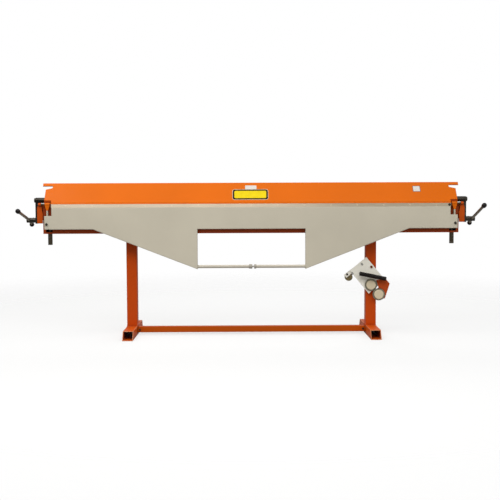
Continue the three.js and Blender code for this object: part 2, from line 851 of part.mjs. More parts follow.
function hingeSleeve({ name, sign }) {
  const x = sign * armX;
  const gusset = outline([
    [x - gussetFoot / 2, bendHeight - gussetDrop],
    [x + gussetFoot / 2, bendHeight - gussetDrop],
    [x + sleeveLength / 2, bendHeight - pinRadius],
    [x + sleeveLength / 2, bendHeight],
    [x - sleeveLength / 2, bendHeight],
    [x - sleeveLength / 2, bendHeight - pinRadius],
  ]);
  const body = barX(sleeveRadius, around(x, sleeveLength / 2), hingeY, bendHeight)
    .add(pullY(gusset, around(hingeY, gussetDepth / 2)))
    .subtract(barX(pinRadius + fitGap, around(x, sleeveLength), hingeY, bendHeight));
  return part(`${name}_hinge_sleeve`, body, orange);
}

function armBolt({ name, sign }) {
  const x = sign * (armX + armBoltOffset);
  const z = leafBottomZ + armBoltLift;
  const headY = leafFrontY - fitGap;
  const backY = leafFrontY + leafSheet + armFootThickness + fitGap;
  const shank = [headY - armBoltHeadHeight / 2, backY + armBoltHeadHeight];
  const body = join([
    barY(armBoltHead, x, [headY - armBoltHeadHeight, headY], z, hexSides),
    barY(armBoltRadius, x, shank, z, smallSides),
    barY(armBoltHead, x, [backY, backY + armBoltHeadHeight], z, hexSides),
  ]);
  return part(`${name}_arm_bolt`, body, darkSteel);
}

// Tie bar: two tubes pulled together by a stud and two nuts
function tieBar() {
  const y = (leafFrontY + leafRimY) / 2;
  const z = leafTipZ + tieHeight;
  const adjuster = tieNutLong + tieGap + tieNutShort;
  const longStart = tieOffset - adjuster / 2;
  const longEnd = longStart + tieNutLong;
  const shortStart = longEnd + tieGap;
  const shortEnd = shortStart + tieNutShort;
  const boreSpan = [longStart - tieStudGrip - fitGap, shortEnd + tieStudGrip + fitGap];
  const bore = barX(tieStudRadius + fitGap, boreSpan, y, z);
  const studEnds = [longStart - tieStudGrip, shortEnd + tieStudGrip];
  const nut = (ends) => barX(tieNutRadius, ends, y, z).subtract(bore);
  return [
    part('left_tie_bar', barX(tieRadius, [-windowHalf, longStart], y, z).subtract(bore), ivory),
    part('right_tie_bar', barX(tieRadius, [shortEnd, windowHalf], y, z).subtract(bore), ivory),
    part('tie_stud', barX(tieStudRadius, studEnds, y, z, smallSides), darkSteel),
    part('left_tie_nut', nut([longStart, longEnd]), ivory),
    part('right_tie_nut', nut([shortStart, shortEnd]), ivory),
  ];
}

// Stand

function post({ name, sign }) {
  const x = sign * postCentre;
  const outer = box(around(x, postSize / 2), around(0, postSize / 2), [postBottomZ, postTopZ]);
  const inner = box(
    around(x, postSize / 2 - postWall),
    around(0, postSize / 2 - postWall),
    [postBottomZ - overrun, postTopZ]);
  const frontWall = [-postSize / 2 - overrun, -postSize / 2 + postWall + overrun];
  const pegHoleBody = barY(pegRadius + fitGap, x, frontWall, shearHeight, smallSides);
  const plate = box(
    around(x, postPlateWidth / 2), around(0, postPlateDepth / 2), [postTopZ, bodyBottomZ]);
  const body = outer.subtract(inner).add(plate);
  return part(`${name}_post`, sign > 0 ? body.subtract(pegHoleBody) : body, deepOrange);
}

// Foot: a tube with slanted open ends and the stub that carries the crossbar
function foot({ name, sign }) {
  const x = sign * postCentre;
  const half = footLength / 2;
  const section = outline([
    [-half, 0], [half, 0], [half - footSlope, footHeight], [-half + footSlope, footHeight],
  ]);
  const innerX = postCentre - footWidth / 2;
  const stubHalf = crossbarSize / 2 - crossbarWall - stubGap;
  const stubZ = crossbarLift + crossbarSize / 2;
  const bore = box(
    around(x, footWidth / 2 - footWall),
    around(0, half + overrun),
    [footWall, footHeight - footWall]);
  const stub = box(span(sign, innerX - stubLength, innerX), around(0, stubHalf), around(stubZ, stubHalf));
  const body = pullX(section, around(x, footWidth / 2)).subtract(bore).add(stub);
  return part(`${name}_foot`, body.subtract(crossBoltHole(sign)), deepOrange);
}

function crossBoltPlace(sign) {
  return [sign * (postCentre - footWidth / 2 - crossBoltInset), crossbarLift + crossbarSize / 2];
}

function crossBoltHole(sign) {
  const [x, z] = crossBoltPlace(sign);
  return barY(crossBoltRadius + fitGap, x, around(0, crossbarSize), z, smallSides);
}

function crossbar() {
  const half = crossbarSize / 2;
  const z = crossbarLift + half;
  const innerX = postCentre - footWidth / 2;
  const outer = box(around(0, innerX), around(0, half), around(z, half));
  const inner = box(
    around(0, innerX + overrun), around(0, half - crossbarWall), around(z, half - crossbarWall));
  let body = outer.subtract(inner);
  for (const { sign } of sides) {
    body = body.subtract(crossBoltHole(sign));
  }
  return part('crossbar', body, deepOrange);
}

function crossbarBolt({ name, sign }) {
  const [x, z] = crossBoltPlace(sign);
  const seat = crossbarSize / 2 + fitGap;
  const body = join([
    barY(crossBoltHead, x, [-seat - crossBoltHeadHeight, -seat], z, hexSides),
    barY(crossBoltRadius, x, around(0, seat + crossBoltHeadHeight / 2), z, smallSides),
    barY(crossBoltHead, x, [seat, seat + crossBoltHeadHeight], z, hexSides),
  ]);
  return part(`${name}_crossbar_bolt`, body, darkSteel);
}

// Shear on its peg

const pegY = -postSize / 2 - pegStandoff;
const plateFrontY = pegY - shearPlate;
const armFrontY = plateFrontY - shearArm;

function shearPeg() {
  const collar = barY(pegCollarRadius, postCentre, [pegY, -postSize / 2], shearHeight);
  const pin = barY(
    pegRadius,
    postCentre,
    [plateFrontY - pegLength, -postSize / 2 + postWall],
    shearHeight,
    smallSides);
  return part('shear_peg', collar.add(pin), darkSteel);
}

// Axle of a cutter, standing forward from a plate into the cutter's blind bore
function cutterAxle(u, backY) {
  return barY(axleRadius, u, [backY - cutterBore, backY], -cutterW);
}

function shearPlatePart() {
  const body = box([-plateAbove, plateBelow], [plateFrontY, pegY], [-plateLeft, plateRight])
    .subtract(barY(pegHole, 0, around(pegY, overrun), 0))
    .add(cutterAxle(cutterU, plateFrontY));
  return part('shear_plate', body, ivory);
}

// C-shaped arm that reaches round the throat to the lower cutter
function shearArmPart() {
  const throatU = cutterU + cutterSpacing / 2 + throatHalf;
  const lowerU = cutterU + cutterSpacing;
  const shape = outline([
    [armRootU, -armRootW],
    [throatU, -armInnerW],
    [throatU, -armHeelW + throatHalf],
    [armHeelU, -armHeelW],
    [lowerU + armBackReach / 2, -armHeelW],
    [lowerU + armBackReach, -armTipW],
    [armElbowU, armOuterW],
    [armShoulderU, armOuterW],
  ]);
  const body = pullY(shape, [armFrontY, plateFrontY])
    .add(cutterAxle(lowerU, armFrontY));
  return part('shear_arm', body, orange);
}

function cutter(name, u, backY) {
  const back = backY - axlePlay;
  const front = back - cutterThickness;
  const body = barY(cutterRadius, u, [front, back], -cutterW)
    .add(barY(cutterCapRadius, u, [front - cutterCapThickness, front], -cutterW))
    .subtract(barY(axleRadius + fitGap, u, [back - cutterBore, back + overrun], -cutterW));
  return part(name, body, darkSteel);
}

function shearHandle() {
  const turn = THREE.MathUtils.degToRad(handleTurnDegrees);
  const at = (along) => [handleU + along * Math.cos(turn), -handleW + along * Math.sin(turn)];
  const y = plateFrontY - handleStandoff;
  const [u0, w0] = at(0);
  const [u1, w1] = at(handleLength);
  const legs = [handleLegShare, 1 - handleLegShare].map((share) => {
    const [u, w] = at(share * handleLength);
    return barY(handleLegRadius, u, [y, plateFrontY], w, smallSides);
  });
  const body = join([bar(handleRadius, [u0, y, w0], [u1, y, w1]), ...legs]);
  return part('shear_handle', body, blackPlastic);
}

// Fork behind the plate's edge: a lug in front of the guide roller and a bar with its axle behind it
const rollerBackY = pegY + bracketThickness + rollerWidth + 2 * rollerPlay;

function rollerBracket() {
  const across = [-rollerW - lugEnd, -plateLeft + bracketOverlap];
  const bridge = [-rollerW + rollerRadius + bridgeGap, -plateLeft + bracketOverlap];
  const bar = around(-lugU + (bracketWidth - lugWidth) / 2, bracketWidth / 2);
  const body = join([
    box(around(-lugU, lugWidth / 2), [pegY, pegY + bracketThickness], across),
    box(bar, [pegY, rollerBackY], bridge),
    box(bar, [rollerBackY, rollerBackY + bracketThickness], across),
    barY(axleRadius, -rollerU, [rollerBackY - rollerWidth + rollerFace, rollerBackY], -rollerW),
  ]);
  return part('roller_bracket', body, darkSteel);
}

function guideRoller() {
  const bore = axleRadius + fitGap;
  const groove = rollerRadius - rollerGroove;
  const front = rollerWidth - rollerFace + rollerPlay;
  const profile = [
    [bore, 0], [rollerRadius, 0], [rollerRadius, rollerRim], [groove, rollerRim + rollerGroove],
    [groove, rollerWidth - rollerRim - rollerGroove], [rollerRadius, rollerWidth - rollerRim],
    [rollerRadius, rollerWidth], [0, rollerWidth], [0, front], [bore, front], [bore, 0],
  ];
  const body = turned(profile, [-rollerU, rollerBackY - rollerPlay, -rollerW], [0, -1, 0]);
  return part('guide_roller', body, darkSteel);
}

// Assembly

const machine = new THREE.Group();
machine.add(lowerBeam(), tableRail(), upperFront(), upperBack(), upperJaw());
machine.add(bendingLeaf(), bendingBlade(), ...tieBar(), crossbar(), shearPeg());
for (const side of sides) {
  machine.add(endPlatePart(side), hingeBracket(side), hingePin(side));
  machine.add(springHousing(side), liftSpring(side), liftRod(side));
  machine.add(beamCap(side), clampPin(side), clampStrap(side));
  machine.add(camShaft(side), leverRod(side), ...leverKnobs(side));
  machine.add(leafArm(side), hingeSleeve(side), armBolt(side));
  machine.add(post(side), foot(side), crossbarBolt(side));
}

const shear = new THREE.Group();
shear.position.set(postCentre, 0, shearHeight);
shear.rotation.y = THREE.MathUtils.degToRad(shearTurnDegrees);
shear.add(shearPlatePart(), shearArmPart(), shearHandle(), rollerBracket(), guideRoller());
shear.add(cutter('upper_cutter', cutterU, plateFrontY));
shear.add(cutter('lower_cutter', cutterU + cutterSpacing, armFrontY));
machine.add(shear);

// The origin is the middle of the box round the machine, on the floor
const bounds = new THREE.Box3().setFromObject(machine, true);
const middle = bounds.getCenter(new THREE.Vector3());
machine.position.set(-middle.x, -middle.y, 0);

export default machine;
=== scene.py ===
# Looks, light and camera for a sheet metal brake on its stand, in metres.
import json
import math

import bmesh
import bpy
from mathutils import Matrix, Vector

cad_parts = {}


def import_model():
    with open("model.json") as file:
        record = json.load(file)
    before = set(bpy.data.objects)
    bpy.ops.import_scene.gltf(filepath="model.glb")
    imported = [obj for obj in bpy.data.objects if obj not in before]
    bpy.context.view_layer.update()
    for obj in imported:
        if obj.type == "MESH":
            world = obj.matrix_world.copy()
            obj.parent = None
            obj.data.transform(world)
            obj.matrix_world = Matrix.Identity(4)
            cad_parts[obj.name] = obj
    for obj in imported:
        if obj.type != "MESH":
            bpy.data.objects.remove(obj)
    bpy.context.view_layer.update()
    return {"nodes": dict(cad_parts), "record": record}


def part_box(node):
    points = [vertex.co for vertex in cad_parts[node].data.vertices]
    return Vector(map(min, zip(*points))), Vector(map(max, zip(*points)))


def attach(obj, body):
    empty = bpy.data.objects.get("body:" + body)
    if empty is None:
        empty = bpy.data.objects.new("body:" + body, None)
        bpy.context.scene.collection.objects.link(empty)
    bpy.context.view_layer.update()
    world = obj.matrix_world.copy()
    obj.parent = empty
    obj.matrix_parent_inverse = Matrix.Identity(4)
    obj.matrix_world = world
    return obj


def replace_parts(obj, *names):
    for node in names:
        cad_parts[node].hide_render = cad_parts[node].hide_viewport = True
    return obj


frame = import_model()
nodes = frame["nodes"]
SIDES = (("left", -1), ("right", 1))

# Edges and round pieces
TURN_SIDES = 48
HEX_SIDES = 6
SMOOTH_ANGLE = math.radians(32)
BEVEL_ANGLE = math.radians(38)
WELD_DISTANCE = 0.00001
FLAT_ANGLE = math.radians(0.5)

# Camera, as the photograph was taken
CAMERA_PLACE = (-0.06659, -5.93191, 0.95268)
CAMERA_YAW = 0.00963
CAMERA_PITCH = -0.06253
CAMERA_ROLL = -0.00369
CAMERA_LENS = 62.6
CAMERA_SENSOR = 36.0

# Sloping face of the clamping beam
LEAN = math.radians(37)
NOSE_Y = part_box("upper_jaw")[0].y
NOSE_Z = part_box("upper_jaw")[0].z


# Materials: scales of the noises per metre, and heights of the bumps in metres
CLOUD_SCALE = 2.2
SPECK_SCALE = 420.0
CHIP_SCALE = 55.0
PEEL_SCALE = 330.0
PEEL_HEIGHT = 0.00005
CHIP_DEPTH = 0.0001
LINE_SCALE = 900.0
LINE_DEPTH = 0.00003
METAL_EDGE = 0.0012
METAL_CORNER = 0.012
PLASTIC_EDGE = 0.0015
PLASTIC_GRAIN_SCALE = 1400.0
PLASTIC_GRAIN_HEIGHT = 0.00002
DUST_SCALE = 700.0
FILM_WAVE_SCALE = 160.0
FILM_WAVE_HEIGHT = 0.00003


class Look:
    """A material and the short calls that build its nodes."""

    def __init__(self, name, **sockets):
        self.material = bpy.data.materials.new(name)
        self.material.use_nodes = True
        self.nodes = self.material.node_tree.nodes
        self.links = self.material.node_tree.links
        self.nodes.clear()
        self.shader = self.add("ShaderNodeBsdfPrincipled")
        output = self.add("ShaderNodeOutputMaterial")
        self.links.new(self.shader.outputs["BSDF"], output.inputs["Surface"])
        self.place = self.add("ShaderNodeTexCoord").outputs["Object"]
        for socket, value in sockets.items():
            self.shader.inputs[socket.replace("_", " ")].default_value = value

    def add(self, kind, inputs=(), **settings):
        node = self.nodes.new(kind)
        for name, value in settings.items():
            setattr(node, name, value)
        for key, value in dict(inputs).items():
            if isinstance(value, bpy.types.NodeSocket):
                self.links.new(value, node.inputs[key])
            else:
                node.inputs[key].default_value = value
        return node

    def feed(self, socket, value):
        self.links.new(value, self.shader.inputs[socket])

    def noise(self, scale, detail=3.0, stretch=(1, 1, 1)):
        place = self.add("ShaderNodeMapping", {"Vector": self.place, "Scale": stretch})
        inputs = {"Vector": place.outputs["Vector"], "Scale": scale, "Detail": detail}
        return self.add("ShaderNodeTexNoise", inputs).outputs[0]

    def span(self, value, low, high, start=0.0, end=1.0):
        inputs = {0: value, 1: low, 2: high, 3: start, 4: end}
        return self.add("ShaderNodeMapRange", inputs, interpolation_type="SMOOTHSTEP").outputs[0]

    def math(self, operation, a, b):
        return self.add("ShaderNodeMath", {0: a, 1: b}, operation=operation).outputs[0]

    def mix(self, share, a, b, blend="MIX"):
        inputs = {0: share, 6: a, 7: b}
        return self.add("ShaderNodeMix", inputs, data_type="RGBA", blend_type=blend).outputs[2]

    def edges(self, radius):
        """1 along sharp edges and 0 on flat stretches."""
        rounded = self.add("ShaderNodeBevel", {"Radius": radius}, samples=4).outputs[0]
        flat = self.add("ShaderNodeNewGeometry").outputs["Normal"]
        dot = self.add("ShaderNodeVectorMath", {0: rounded, 1: flat}, operation="DOT_PRODUCT")
        return self.span(dot.outputs["Value"], 0.99, 0.88)

    def corners(self, distance):
        """1 in open places and 0 deep in corners."""
        return self.add("ShaderNodeAmbientOcclusion", {"Distance": distance}, samples=6).outputs["AO"]

    def height(self, share):
        return self.add("ShaderNodeSeparateXYZ", {0: self.place}).outputs[share]

    def bump(self, height, distance, under=None):
        inputs = {"Height": height, "Distance": distance, "Strength": 1.0}
        if under is not None:
            inputs["Normal"] = under
        return self.add("ShaderNodeBump", inputs).outputs["Normal"]


def shade(colour, factor):
    return (*[channel * factor for channel in colour], 1.0)


def painted(name, colour, gloss=0.42, cloud=0.04, wear=0.35, corner_shade=0.35, bare=(0.32, 0.30, 0.27),
            crest=0.0, deep=0.03, coat=0.02, shine=0.06, rim=0.0022, rim_share=0.25, pale=None):
    """Powder coat: orange peel, soft clouds, paler edges with small chips, and painted shade in corners.

    crest rounds the edges in the light by this radius, deep is how far the painted shade in corners reaches,
    and rim is the width of the paler edge; a pale colour given for it paints a highlight on the edges.
    """
    look = Look(name, Coat_Weight=coat, Coat_Roughness=0.2, Specular_IOR_Level=shine)
    clouds = look.span(look.noise(CLOUD_SCALE, 4.0), 0.3, 0.7)
    base = look.mix(clouds, shade(colour, 1 - cloud), shade(colour, 1 + cloud))
    specks = look.span(look.noise(SPECK_SCALE, 2.0), 0.62, 0.74)
    base = look.mix(look.math("MULTIPLY", specks, 0.08), base, shade(colour, 0.6))
    # Painted shade: ambient occlusion darkens corners, recesses and faces tucked under other parts towards a
    # dark copy of the colour.
    unshaded_share = look.span(look.corners(deep), 0.35, 0.85)
    base = look.mix(unshaded_share, look.mix(corner_shade, base, shade(colour, 0.3)), base)
    edge = look.edges(rim)
    paling = (*pale, 1.0) if pale else shade(colour, 1.25)
    base = look.mix(look.math("MULTIPLY", edge, rim_share), base, paling)
    chips = look.math("MULTIPLY", edge, look.span(look.noise(CHIP_SCALE, 5.0), 0.6, 0.66))
    chips = look.math("MULTIPLY", chips, wear)
    base = look.mix(chips, base, (*bare, 1.0))
    look.feed("Base Color", base)
    rough = look.span(look.noise(18.0, 3.0), 0.25, 0.75, gloss - 0.05, gloss + 0.07)
    look.feed("Roughness", look.math("ADD", rough, look.math("MULTIPLY", chips, 0.2)))
    under = look.add("ShaderNodeBevel", {"Radius": crest}, samples=6).outputs[0] if crest else None
    peel = look.bump(look.noise(PEEL_SCALE, 1.0), PEEL_HEIGHT, under)
    look.feed("Normal", look.bump(chips, CHIP_DEPTH, peel))
    return look


def metal(name, colour, dark, rough=0.3, grain=(1, 1, 1), tone=3.0, sheen_fade=None, metallic=1.0, corner_shade_tone=0.4):
    """Bare or blackened steel: machining lines along its grain, stains, worn edges and painted shade in
    corners.

    A fade tone, when given, darkens the colour along the piece's length, so the brighter left end is a
    painted sheen.
    """
    look = Look(name, Metallic=metallic)
    tones = look.span(look.noise(tone, 4.0), 0.3, 0.7)
    base = look.mix(tones, (*dark, 1.0), (*colour, 1.0))
    # Painted sheen: bright at the left end, fading to a darker tone towards the right.
    if sheen_fade:
        drift = look.math("MULTIPLY", look.noise(1.6, 2.0, (1, 0.3, 0.3)), 0.5)
        film = look.span(look.math("ADD", look.height(0), drift), 0.1, 1.1)
        base = look.mix(film, base, (*sheen_fade, 1.0))
    lines = look.noise(LINE_SCALE, 2.0, grain)
    base = look.mix(look.span(lines, 0.3, 0.7, 0.0, 0.25), base, (*dark, 1.0))
    edge = look.edges(METAL_EDGE)
    base = look.mix(look.math("MULTIPLY", edge, 0.5), base, shade(colour, 1.5))
    # Painted shade: ambient occlusion darkens corners towards the dark colour.
    unshaded_share = look.span(look.corners(METAL_CORNER), 0.3, 0.8)
    base = look.mix(unshaded_share, shade(dark, corner_shade_tone), base)
    look.feed("Base Color", base)
    smudges = look.span(look.noise(24.0, 4.0), 0.3, 0.7, rough - 0.06, rough + 0.1)
    look.feed("Roughness", smudges)
    look.feed("Normal", look.bump(lines, LINE_DEPTH))
    return look


def moulded(name, colour, gloss=0.3):
    """Moulded plastic: fine grain, finger marks and paler scuffed edges."""
    look = Look(name, Specular_IOR_Level=0.22)
    marks = look.span(look.noise(30.0, 4.0), 0.35, 0.7)
    base = look.mix(marks, shade(colour, 0.8), shade(colour, 1.35))
    edge = look.math("MULTIPLY", look.edges(PLASTIC_EDGE), 0.35)
    base = look.mix(edge, base, shade(colour, 3.0))
    look.feed("Base Color", base)
    look.feed("Roughness", look.span(look.noise(45.0, 3.0), 0.3, 0.7, gloss - 0.05, gloss + 0.12))
    look.feed("Normal", look.bump(look.noise(PLASTIC_GRAIN_SCALE, 1.0), PLASTIC_GRAIN_HEIGHT))
    return look


def film(name, colour, gloss=0.3):
    """Printed film or enamelled plate: even colour with faint handling marks."""
    look = Look(name, Coat_Weight=0.04, Coat_Roughness=0.15, Specular_IOR_Level=0.12)
    marks = look.span(look.noise(26.0, 5.0), 0.35, 0.75)
    base = look.mix(marks, shade(colour, 0.95), shade(colour, 1.04))
    dust = look.span(look.noise(DUST_SCALE, 2.0), 0.66, 0.75)
    base = look.mix(look.math("MULTIPLY", dust, 0.15), base, shade(colour, 0.7))
    look.feed("Base Color", base)
    look.feed("Roughness", look.span(look.noise(60.0, 3.0), 0.3, 0.7, gloss - 0.06, gloss + 0.1))
    look.feed("Normal", look.bump(look.noise(FILM_WAVE_SCALE, 2.0), FILM_WAVE_HEIGHT))
    return look


looks = {
    "orange_paint": painted("orange_powder_coat", (0.69, 0.136, 0.0035), corner_shade=0.7, crest=0.006, deep=0.05,
                            coat=0.05),
    "stand_paint": painted("stand_powder_coat", (0.57, 0.065, 0.0005), wear=0.5, corner_shade=0.5,
                           crest=0.006, coat=0.05, shine=0.16),
    "grey_paint": painted("grey_powder_coat", (0.615, 0.565, 0.45), gloss=0.5, wear=0.2, corner_shade=0.2,
                          crest=0.009),
    "ivory_paint": painted("ivory_paint_coat", (0.95, 0.915, 0.80), gloss=0.5, wear=0.25, corner_shade=0.2),
    # The blade's bright left end, which fades darker towards the right, is a painted sheen.
    "blade_steel": metal("ground_blade_steel", (0.98, 0.82, 0.62), (0.88, 0.735, 0.54), rough=0.34,
                         grain=(0.02, 1, 1), sheen_fade=(0.51, 0.43, 0.31), metallic=0.2, corner_shade_tone=1.0),
    "bare_steel": metal("plated_steel", (0.72, 0.66, 0.58), (0.33, 0.27, 0.2), rough=0.3,
                        grain=(0.15, 1, 1)),
    "spring_steel": metal("spring_wire", (0.5, 0.48, 0.45), (0.2, 0.19, 0.18), rough=0.35),
    "black_steel": metal("blackened_steel", (0.105, 0.094, 0.080), (0.034, 0.030, 0.024), rough=0.36,
                         grain=(0.2, 1, 1)),
    "cutter_steel": metal("cutter_steel", (0.55, 0.515, 0.405), (0.33, 0.30, 0.22), rough=0.36),
    "black_plastic": moulded("black_plastic", (0.009, 0.007, 0.006), gloss=0.26),
    "roller_plastic": moulded("roller_plastic", (0.17, 0.13, 0.06), gloss=0.42),
}
# Darker copy of the orange for the lower beam and its end plates: painted shade for the shade under the
# bending leaf.
shaded_beam_coat = painted("shaded_beam_powder_coat", (0.40, 0.064, 0.015), corner_shade=0.5)
arm_coat = painted("arm_powder_coat", (0.50, 0.074, 0.014), wear=0.4)
hinge_coat = painted("hinge_powder_coat", (0.54, 0.080, 0.007), wear=0.4, corner_shade=0.8, crest=0.005, deep=0.06)
# Darker copy of the orange for the recesses at the beam caps: painted shade for the unlit recesses.
shaded_recess_coat = painted("shaded_recess_powder_coat", (0.46, 0.062, 0.005), corner_shade=0.8, crest=0.004, deep=0.05)
tie_coat = painted("tie_coat", (0.60, 0.55, 0.45), gloss=0.36, wear=0.2, corner_shade=0.2, coat=0.2, shine=0.4)
nut_coat = painted("tie_nut_coat", (0.44, 0.41, 0.35), gloss=0.5, wear=0.2, corner_shade=0.3)
bar_coat = painted("crossbar_powder_coat", (0.54, 0.083, 0.001), wear=0.4, crest=0.006, coat=0.04, shine=0.12)
# The feet get a lighter copy of the stand paint as a painted highlight on their tops, with their edges and
# rims painted pale as a painted highlight.
lit_foot_coat = painted("lit_foot_powder_coat", (0.62, 0.088, 0.002), wear=0.6, corner_shade=0.8, crest=0.004, deep=0.05,
                    coat=0.08, shine=0.2, rim=0.005, rim_share=0.95, pale=(0.82, 0.46, 0.22))
# The peg's end is painted dark brown: painted shade for the dark hanging hole around it.
shaded_peg_coat = painted("shaded_peg_powder_coat", (0.17, 0.05, 0.014), wear=0.6)
rod_steel = metal("lever_rod_steel", (0.36, 0.32, 0.24), (0.17, 0.145, 0.10), rough=0.34, grain=(1, 0.1, 1),
                  metallic=0.65)
tube_steel = metal("housing_steel", (0.25, 0.21, 0.15), (0.085, 0.07, 0.045), rough=0.24, grain=(1, 1, 0.1),
                   metallic=0.9)
pin_steel = metal("hinge_pin_steel", (0.19, 0.155, 0.11), (0.08, 0.065, 0.045), rough=0.42, grain=(0.1, 1, 1),
                  metallic=0.8)
PAIR_LOOKS = {
    "end_plate": shaded_beam_coat, "foot": lit_foot_coat, "beam_cap": shaded_recess_coat, "tie_bar": tie_coat,
    "tie_nut": nut_coat, "hinge_bracket": hinge_coat, "hinge_pin": pin_steel,
    "spring_housing": tube_steel, "lever_rod": rod_steel,
}
NODE_LOOKS = {
    "lower_beam": shaded_beam_coat, "crossbar": bar_coat, "shear_arm": arm_coat, "shear_peg": shaded_peg_coat,
    **{f"{side}_{piece}": look for side, _ in SIDES for piece, look in PAIR_LOOKS.items()},
}


# Finish of the solids

def soft_shading():
    """Nodes that drop the stored normals and keep only real corners sharp."""
    tree = bpy.data.node_groups.new("soft_shading", "GeometryNodeTree")
    tree.interface.new_socket("Geometry", in_out="INPUT", socket_type="NodeSocketGeometry")
    tree.interface.new_socket("Geometry", in_out="OUTPUT", socket_type="NodeSocketGeometry")
    start = tree.nodes.new("NodeGroupInput")
    end = tree.nodes.new("NodeGroupOutput")
    angle = tree.nodes.new("GeometryNodeInputMeshEdgeAngle")
    corner = tree.nodes.new("FunctionNodeCompare")
    corner.inputs[1].default_value = SMOOTH_ANGLE
    normal = tree.nodes.new("GeometryNodeSetMeshNormal")
    normal.mode = "SHARPNESS"
    tree.links.new(angle.outputs["Unsigned Angle"], corner.inputs[0])
    tree.links.new(start.outputs[0], normal.inputs["Mesh"])
    normal.inputs["Remove Custom"].default_value = True
    tree.links.new(corner.outputs[0], normal.inputs["Edge Sharpness"])
    tree.links.new(normal.outputs[0], end.inputs[0])
    return tree


SOFT_SHADING = soft_shading()
BEVELS = {
    "post": 0.0018, "foot": 0.0018, "crossbar": 0.0013, "bending_leaf": 0.0012, "upper_beam_front": 0.0012,
    "upper_beam_back": 0.0012, "lower_beam": 0.0012, "plate": 0.001, "bracket": 0.0014, "strap": 0.0012,
    "clamp_pin": 0.003, "cam_shaft": 0.002,
}
NO_BEVEL = ("spring", "stud")
USUAL_BEVEL = 0.0008


def bevel_of(name):
    if name.endswith(NO_BEVEL):
        return 0
    return next((width for word, width in BEVELS.items() if word in name), USUAL_BEVEL)


def finish_solid(obj, width):
    """Joins the faces of a solid, rounds its edges and shades it softly, by modifiers only."""
    weld = obj.modifiers.new("weld", "WELD")
    weld.merge_threshold = WELD_DISTANCE
    flat = obj.modifiers.new("flat", "DECIMATE")
    flat.decimate_type = "DISSOLVE"
    flat.angle_limit = FLAT_ANGLE
    if width:
        bevel = obj.modifiers.new("bevel", "BEVEL")
        bevel.width = width
        bevel.segments = 2
        bevel.limit_method = "ANGLE"
        bevel.angle_limit = BEVEL_ANGLE
        bevel.use_clamp_overlap = True
    obj.modifiers.new("shading", "NODES").node_group = SOFT_SHADING
    if width:
        even = obj.modifiers.new("even", "WEIGHTED_NORMAL")
        even.keep_sharp = True
        even.weight = 100


for part in frame["record"]["subparts"]:
    solid = nodes[part["node"]]
    solid.data.materials.clear()
    look = NODE_LOOKS.get(part["node"], looks[part["material_slot"]])
    solid.data.materials.append(look.material)
    finish_solid(solid, bevel_of(part["node"]))


# Mesh helpers

def add_piece(name, body, slot, bm, look=None):
    """Makes a piece of the built mesh, with its material, on its body."""
    bmesh.ops.recalc_face_normals(bm, faces=bm.faces)
    mesh = bpy.data.meshes.new(name)
    bm.to_mesh(mesh)
    bm.free()
    mesh.shade_smooth()
    mesh.set_sharp_from_angle(angle=SMOOTH_ANGLE)
    mesh.materials.append((look or looks[slot]).material)
    obj = bpy.data.objects.new(name, mesh)
    bpy.context.scene.collection.objects.link(obj)
    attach(obj, body)
    return obj


def turned(bm, profile, place, aim, count=TURN_SIDES, flute=None, closed=False):
    """Adds a profile of (radius, along) turned about an aim through a place; a closed one makes a ring."""
    turn = Vector((0, 0, 1)).rotation_difference(Vector(aim)).to_matrix()
    rings = []
    for radius, along in profile:
        ring = []
        for step in range(count if radius else 1):
            angle = 2 * math.pi * step / count
            reach = radius + (flute(angle, along) if flute and radius else 0)
            spot = Vector((reach * math.cos(angle), reach * math.sin(angle), along))
            ring.append(bm.verts.new(Vector(place) + turn @ spot))
        rings.append(ring)
    if closed:
        rings.append(rings[0])
    for low, high in zip(rings, rings[1:]):
        for step in range(count):
            after = (step + 1) % count
            corners = [low[step % len(low)], low[after % len(low)],
                       high[after % len(high)], high[step % len(high)]]
            face = list(dict.fromkeys(corners))
            if len(face) > 2:
                bm.faces.new(face)


def rounded_plate(bm, width, height, thick, radius, put, steps=6, chamfer=0.0002):
    """Adds a plate with round corners; put(a, b, lift) gives the place of a point on it."""
    outline = []
    for turn in range(4):
        middle = ((width / 2 - radius) * (1 if turn in (0, 3) else -1),
                  (height / 2 - radius) * (1 if turn < 2 else -1))
        for step in range(steps + 1):
            angle = math.pi / 2 * (turn + step / steps)
            outline.append((middle, math.cos(angle), math.sin(angle)))
    levels = [(radius, 0), (radius, thick - chamfer), (radius - chamfer, thick)]
    rings = [[bm.verts.new(put(m[0] + r * c, m[1] + r * s, lift)) for m, c, s in outline]
             for r, lift in levels]
    for low, high in zip(rings, rings[1:]):
        for step in range(len(outline)):
            after = (step + 1) % len(outline)
            bm.faces.new([low[step], low[after], high[after], high[step]])
    bm.faces.new(rings[0][::-1])
    bm.faces.new(rings[-1])


# Plates on the sloping face, bare

def slope_point(x, along, lift):
    """A point on the sloping face: across, up along the slope from the nose, and out of it."""
    return Vector((
        x,
        NOSE_Y + along * math.sin(LEAN) - lift * math.cos(LEAN),
        NOSE_Z + along * math.cos(LEAN) + lift * math.sin(LEAN),
    ))


def slope_plate(name, x, along, width, height, thick, radius, look, lift=0.0):
    bm = bmesh.new()
    rounded_plate(bm, width, height, thick, radius,
                  lambda a, b, up: slope_point(x + a, along + b, up + lift))
    return add_piece(name, "upper_beam", "ivory_paint", bm, look)


PLATE_X = -0.006
PLATE_ALONG = 0.0765
PLATE_WIDTH = 0.239
PLATE_HEIGHT = 0.085
PLATE_THICK = 0.0010
PLATE_BORDER = 0.0115
PLATE_EDGE = 0.0022
PLATE_RADIUS = 0.014
FACE_LIFT = 0.0002
dark_border = film("plate_border", (0.016, 0.010, 0.005))
pale_line = film("plate_outline", (0.86, 0.72, 0.5))
yellow_face = film("plate_yellow", (0.80, 0.605, 0.001), gloss=0.3)
white_face = film("label_white", (0.70, 0.66, 0.62))
grey_border = film("sticker_border", (0.16, 0.13, 0.13))

